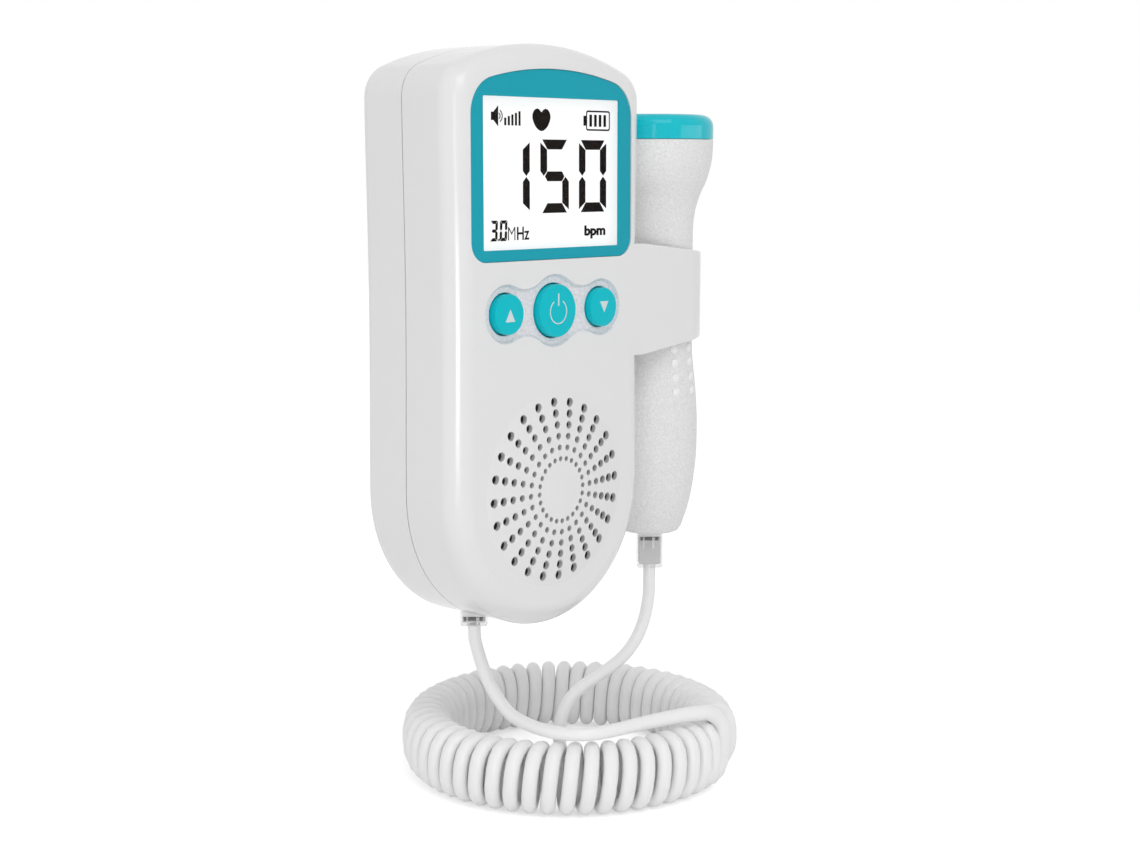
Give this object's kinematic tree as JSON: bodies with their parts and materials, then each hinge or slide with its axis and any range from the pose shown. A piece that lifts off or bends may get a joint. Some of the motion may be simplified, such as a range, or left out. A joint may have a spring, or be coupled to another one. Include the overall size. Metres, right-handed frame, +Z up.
{
  "type": "fetal heart doppler",
  "caption": "Hand-held fetal heart doppler with display, buttons and loudspeaker grille, and a probe that clips to its side and is joined to it by a curly cord.",
  "frame": {"origin": "centre of the flat on the back of the case, above the battery door, where the unit is held", "axes": "+Y out of the back, +Z up along the case, +X towards the side where the probe clips on"},
  "size_m": [0.0975, 0.0846, 0.1785],
  "materials": {
    "white_case": "satin moulded white plastic",
    "grained_grip": "finely grained off-white plastic",
    "turquoise": "satin turquoise plastic",
    "teal_frame": "smooth teal plastic frame",
    "clear_lens": "clear window",
    "display_glass": "white lit display panel",
    "light_guide": "milky light guide",
    "black_plastic": "black moulded plastic",
    "green_board": "green coated circuit board",
    "steel": "plated steel",
    "brass": "spring brass",
    "paper_cone": "pressed black paper",
    "cell_wrap": null,
    "ceramic": "silvered ceramic",
    "grey_foam": "soft damping rubber",
    "clear_plug": "clear greyish plastic",
    "white_cord": "smooth white cord sheath"
  },
  "bodies": {
    "case": {"front_shell": "white_case", "rear_shell": "white_case", "display_bezel": "teal_frame", "display_lens": "clear_lens", "display_panel": "display_glass", "display_backlight": "light_guide", "up_switch": "black_plastic", "power_switch": "black_plastic", "down_switch": "black_plastic", "speaker_frame": "steel", "speaker_cone": "paper_cone", "speaker_magnet": "steel", "main_board": "green_board", "processor": "black_plastic", "audio_amplifier": "black_plastic", "capacitor": "steel", "battery_left": "cell_wrap", "battery_right": "cell_wrap", "battery_spring_left": "steel", "battery_spring_right": "steel", "contact_bridge": "brass", "contact_left": "brass", "contact_right": "brass", "case_screw_1": "steel", "case_screw_2": "steel", "case_screw_3": "steel", "case_screw_4": "steel", "unit_socket": "black_plastic", "unit_plug": "clear_plug", "unit_lead": "white_cord", "curly_cord": "white_cord", "probe_lead": "white_cord"},
    "probe": {"probe_body": "grained_grip", "probe_cap": "turquoise", "crystal_left": "ceramic", "crystal_right": "ceramic", "crystal_holder": "black_plastic", "damping_block": "grey_foam", "probe_board": "green_board", "probe_socket": "black_plastic", "probe_plug": "clear_plug"},
    "up_key": {"up_button": "turquoise"},
    "power_key": {"power_button": "turquoise"},
    "down_key": {"down_button": "turquoise"},
    "door": {"battery_door": "white_case"}
  },
  "joints": [
    {"name": "probe_pull", "type": "slide", "parent": "case", "child": "probe", "axis": [0, 1, 0], "range_m": [0, 0.045]},
    {"name": "up_press", "type": "slide", "parent": "case", "child": "up_key", "axis": [0, 1, 0], "range_m": [0, 0.0008], "stiffness_N_per_m": 600},
    {"name": "power_press", "type": "slide", "parent": "case", "child": "power_key", "axis": [0, 1, 0], "range_m": [0, 0.0008], "stiffness_N_per_m": 600},
    {"name": "down_press", "type": "slide", "parent": "case", "child": "down_key", "axis": [0, 1, 0], "range_m": [0, 0.0008], "stiffness_N_per_m": 600},
    {"name": "door_release", "type": "slide", "parent": "case", "child": "door", "axis": [0, 1, 0], "range_m": [0, 0.02]}
  ]
}
